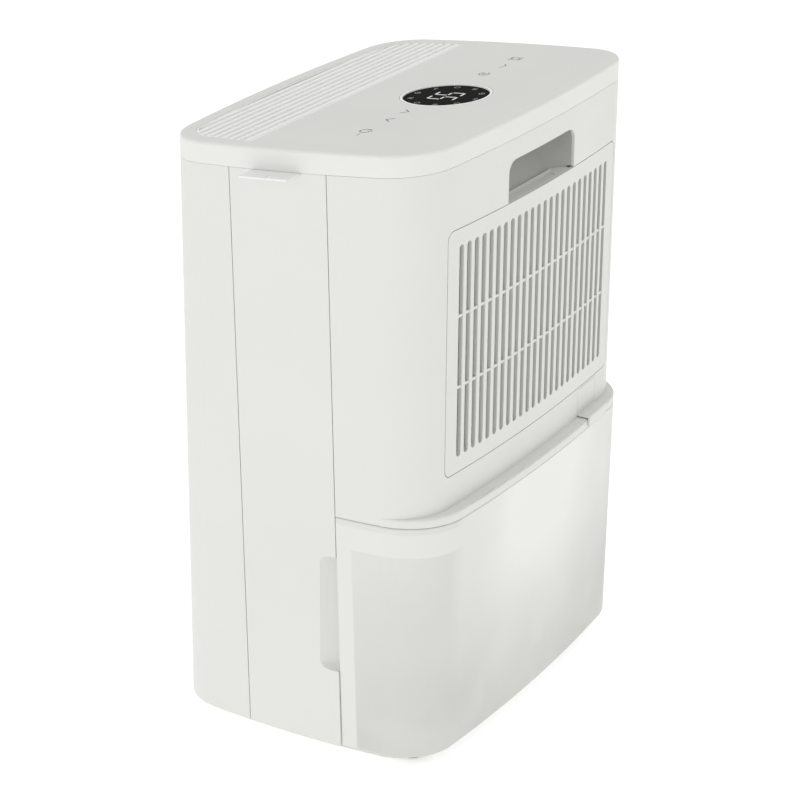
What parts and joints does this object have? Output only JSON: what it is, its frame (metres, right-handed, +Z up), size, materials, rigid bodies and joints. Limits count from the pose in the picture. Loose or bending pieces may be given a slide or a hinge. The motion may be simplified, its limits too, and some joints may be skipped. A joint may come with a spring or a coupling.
{
  "type": "dehumidifier",
  "caption": "Upright compressor dehumidifier with a raked touch panel, top air outlet, rear slotted air filter and a frosted slide-out water tank.",
  "frame": {"origin": "on the floor, at the middle of the four feet, under the middle of the casing's plan", "axes": "+Z up, -Y out of the plain front beside the air outlet, +Y out of the back with the filter and tank, +X out of the side with the small tab"},
  "size_m": [0.3695, 0.2497, 0.4997],
  "materials": {
    "casing_plastic": "fine satin moulded ABS",
    "top_plastic": "fine satin moulded ABS",
    "recess_plastic": "satin moulded plastic, a shade greyer than the casing",
    "grille_plastic": "satin moulded plastic",
    "tag_plastic": "smooth",
    "dark_window": "polished smoked acrylic",
    "circuit_board": "solder mask",
    "contact_foam": "conductive foam",
    "frosted_tank": "frosted translucent polypropylene",
    "lid_plastic": "satin",
    "float_foam": "closed-cell foam",
    "filter_net": "woven net on a thin frame",
    "inner_plastic": "moulded",
    "switch_plastic": "moulded",
    "aluminium_fins": "thin stamped fins",
    "copper": "drawn copper tube",
    "sheet_steel": "zinc plated",
    "black_steel": "black enamel",
    "capacitor_can": "drawn can",
    "rubber": "moulded rubber"
  },
  "bodies": {
    "casing": {"base_pan": "casing_plastic", "base_screws": "sheet_steel", "board_spacers": "inner_plastic", "capillary_tube": "copper", "coil_end_plates": "sheet_steel", "compressor_can": "black_steel", "compressor_grommets": "rubber", "compressor_pump": "sheet_steel", "condenser_fins": "aluminium_fins", "condenser_tube": "copper", "control_board_spacers": "inner_plastic", "control_box": "inner_plastic", "control_box_cover": "inner_plastic", "cord_gland": "rubber", "discharge_pipe": "copper", "display_bezel": "grille_plastic", "display_led_module": "circuit_board", "display_window": "dark_window", "drain_spigot": "inner_plastic", "drip_tray": "inner_plastic", "evaporator_fins": "aluminium_fins", "evaporator_tube": "copper", "fan_inlet_ring": "inner_plastic", "fan_motor": "black_steel", "fan_scroll": "inner_plastic", "filter_drier": "copper", "front_shell": "casing_plastic", "handle_cup": "recess_plastic", "humidity_sensor": "inner_plastic", "liquid_pipe": "copper", "main_control_board": "circuit_board", "mid_deck": "inner_plastic", "outlet_grille": "grille_plastic", "rear_housing": "casing_plastic", "rubber_feet": "rubber", "run_capacitor": "capacitor_can", "side_column_left": "casing_plastic", "side_column_right": "casing_plastic", "side_tag": "tag_plastic", "suction_pipe": "copper", "tank_bay_wall": "inner_plastic", "tank_switch_case": "inner_plastic", "top_cover": "top_plastic", "touch_contact_pads": "contact_foam", "touch_control_board": "circuit_board"},
    "tank": {"water_tank": "frosted_tank", "tank_lid": "lid_plastic", "float_bracket": "lid_plastic"},
    "float": {"tank_float": "float_foam"},
    "switch_plunger": {"tank_switch_plunger": "switch_plastic"},
    "fan": {"fan_wheel": "inner_plastic", "fan_shaft": "sheet_steel"},
    "filter": {"filter_frame": "casing_plastic", "filter_mesh": "filter_net"},
    "port_cover": {"hose_port_cover": "casing_plastic"}
  },
  "joints": [
    {"name": "tank_slide", "type": "slide", "parent": "casing", "child": "tank", "axis": [0, 1, 0], "range_m": [0, 0.15]},
    {"name": "float_pivot", "type": "hinge", "parent": "tank", "child": "float", "pos_m": [-0.084, 0.1035, 0.1939], "axis": [-1, 0, 0], "range_deg": [0, 8]},
    {"name": "switch_travel", "type": "slide", "parent": "casing", "child": "switch_plunger", "axis": [0, -1, 0], "range_m": [0, 0.003], "stiffness_N_per_m": 120},
    {"name": "fan_spin", "type": "hinge", "parent": "casing", "child": "fan", "pos_m": [0, -0.06, 0.345], "axis": [0, 1, 0], "continuous": true},
    {"name": "filter_tilt", "type": "hinge", "parent": "casing", "child": "filter", "pos_m": [0, 0.12, 0.24], "axis": [-1, 0, 0], "range_deg": [0, 30]},
    {"name": "port_cover_flip", "type": "hinge", "parent": "casing", "child": "port_cover", "pos_m": [-0.0955, 0.1185, 0.238], "axis": [1, 0, 0], "range_deg": [0, 80]}
  ]
}
